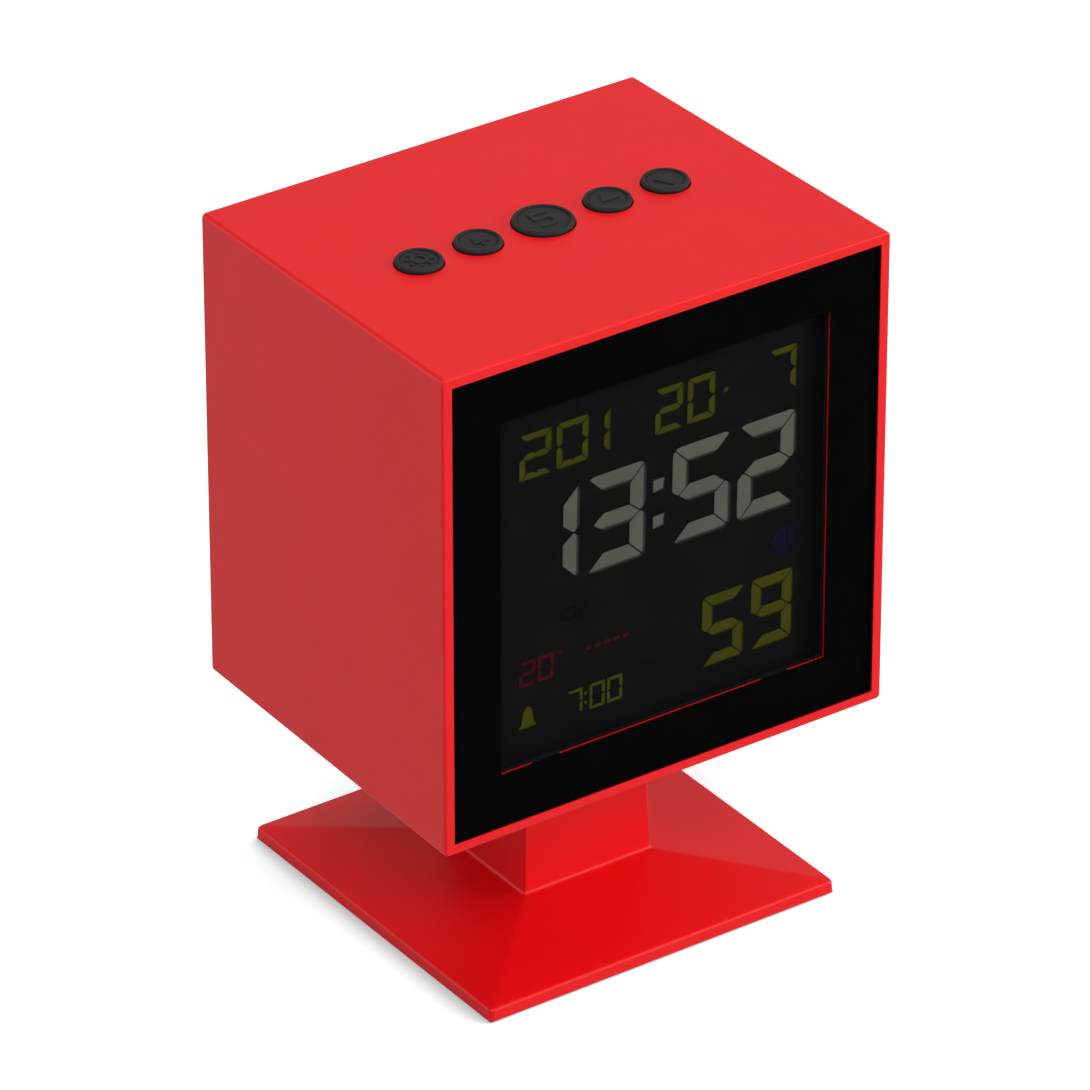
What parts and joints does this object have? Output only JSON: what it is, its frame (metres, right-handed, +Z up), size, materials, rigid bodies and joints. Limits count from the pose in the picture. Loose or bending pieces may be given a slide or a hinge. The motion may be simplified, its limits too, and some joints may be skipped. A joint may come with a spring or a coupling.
{
  "type": "digital alarm clock",
  "caption": "Cube-shaped digital alarm clock with a square segment display behind a flat lens, a row of push buttons on top, a battery bay at the back and a pedestal stand.",
  "frame": {"origin": "centre of the underside, on the plane that the rubber feet rest on", "axes": "+Z up, +Y from the display to the back, +X to the right of a person who reads the display"},
  "size_m": [0.1006, 0.0806, 0.1417],
  "materials": {
    "red_plastic": "fine satin moulding",
    "button_rubber": "matte",
    "foot_rubber": "matte",
    "clear_lens": "polished, clear",
    "black_print": "printed on the back of the lens",
    "black_plastic": "satin",
    "dark_film": "satin film",
    "display_glass": "polished",
    "clear_acrylic": "polished",
    "white_plastic": "satin",
    "circuit_board": "lacquered",
    "screw_steel": "zinc plated",
    "plated_steel": "nickel plated",
    "contact_brass": "tinned leads",
    "capacitor_sleeve": "shrunk sleeve",
    "cell_can": "plain wrapped can",
    "cable_jacket": "satin"
  },
  "bodies": {
    "clock": {"stand_shell": "red_plastic", "base_plate": "plated_steel", "base_plate_screws": "screw_steel", "base_feet": "foot_rubber", "neck_screws": "screw_steel", "case_shell": "red_plastic", "front_lens": "clear_lens", "lens_mask": "black_print", "lens_tape": "black_print", "display_frame": "black_plastic", "display_frame_screws": "screw_steel", "front_polariser": "dark_film", "display_glass": "display_glass", "rear_polariser": "dark_film", "colour_film": "white_plastic", "light_guide": "clear_acrylic", "reflector_sheet": "white_plastic", "backlight_board": "circuit_board", "backlight_lamps": "white_plastic", "contact_strips": "button_rubber", "main_board": "circuit_board", "main_board_screws": "screw_steel", "controller_chip": "black_plastic", "quartz_crystal": "plated_steel", "capacitors": "capacitor_sleeve", "buzzer": "black_plastic", "thermistor": "contact_brass", "wire_connectors": "white_plastic", "switch_bodies": "black_plastic", "button_board": "circuit_board", "button_board_screws": "screw_steel", "button_cable": "cable_jacket", "rear_cover": "red_plastic", "rear_cover_screws": "screw_steel", "battery_cells": "cell_can", "battery_contacts": "plated_steel", "battery_lead": "cable_jacket", "socket_shell": "plated_steel", "socket_tongue": "black_plastic", "socket_board": "circuit_board", "socket_board_screws": "screw_steel", "power_lead": "cable_jacket"},
    "setting_key": {"button_setting": "button_rubber", "stem_setting": "white_plastic"},
    "alarm_key": {"button_alarm": "button_rubber", "stem_alarm": "white_plastic"},
    "snooze_key": {"button_snooze": "button_rubber", "stem_snooze": "white_plastic"},
    "up_key": {"button_up": "button_rubber", "stem_up": "white_plastic"},
    "down_key": {"button_down": "button_rubber", "stem_down": "white_plastic"},
    "battery_lid": {"battery_door": "red_plastic"}
  },
  "joints": [
    {"name": "setting_press", "type": "slide", "parent": "clock", "child": "setting_key", "axis": [0, 0, -1], "range_m": [0, 0.0008], "stiffness_N_per_m": 800},
    {"name": "alarm_press", "type": "slide", "parent": "clock", "child": "alarm_key", "axis": [0, 0, -1], "range_m": [0, 0.0008], "stiffness_N_per_m": 800},
    {"name": "snooze_press", "type": "slide", "parent": "clock", "child": "snooze_key", "axis": [0, 0, -1], "range_m": [0, 0.0008], "stiffness_N_per_m": 800},
    {"name": "up_press", "type": "slide", "parent": "clock", "child": "up_key", "axis": [0, 0, -1], "range_m": [0, 0.0008], "stiffness_N_per_m": 800},
    {"name": "down_press", "type": "slide", "parent": "clock", "child": "down_key", "axis": [0, 0, -1], "range_m": [0, 0.0008], "stiffness_N_per_m": 800},
    {"name": "battery_door_swing", "type": "hinge", "parent": "clock", "child": "battery_lid", "pos_m": [0, 0.0391, 0.09889], "axis": [1, 0, 0], "range_deg": [0, 95]}
  ]
}
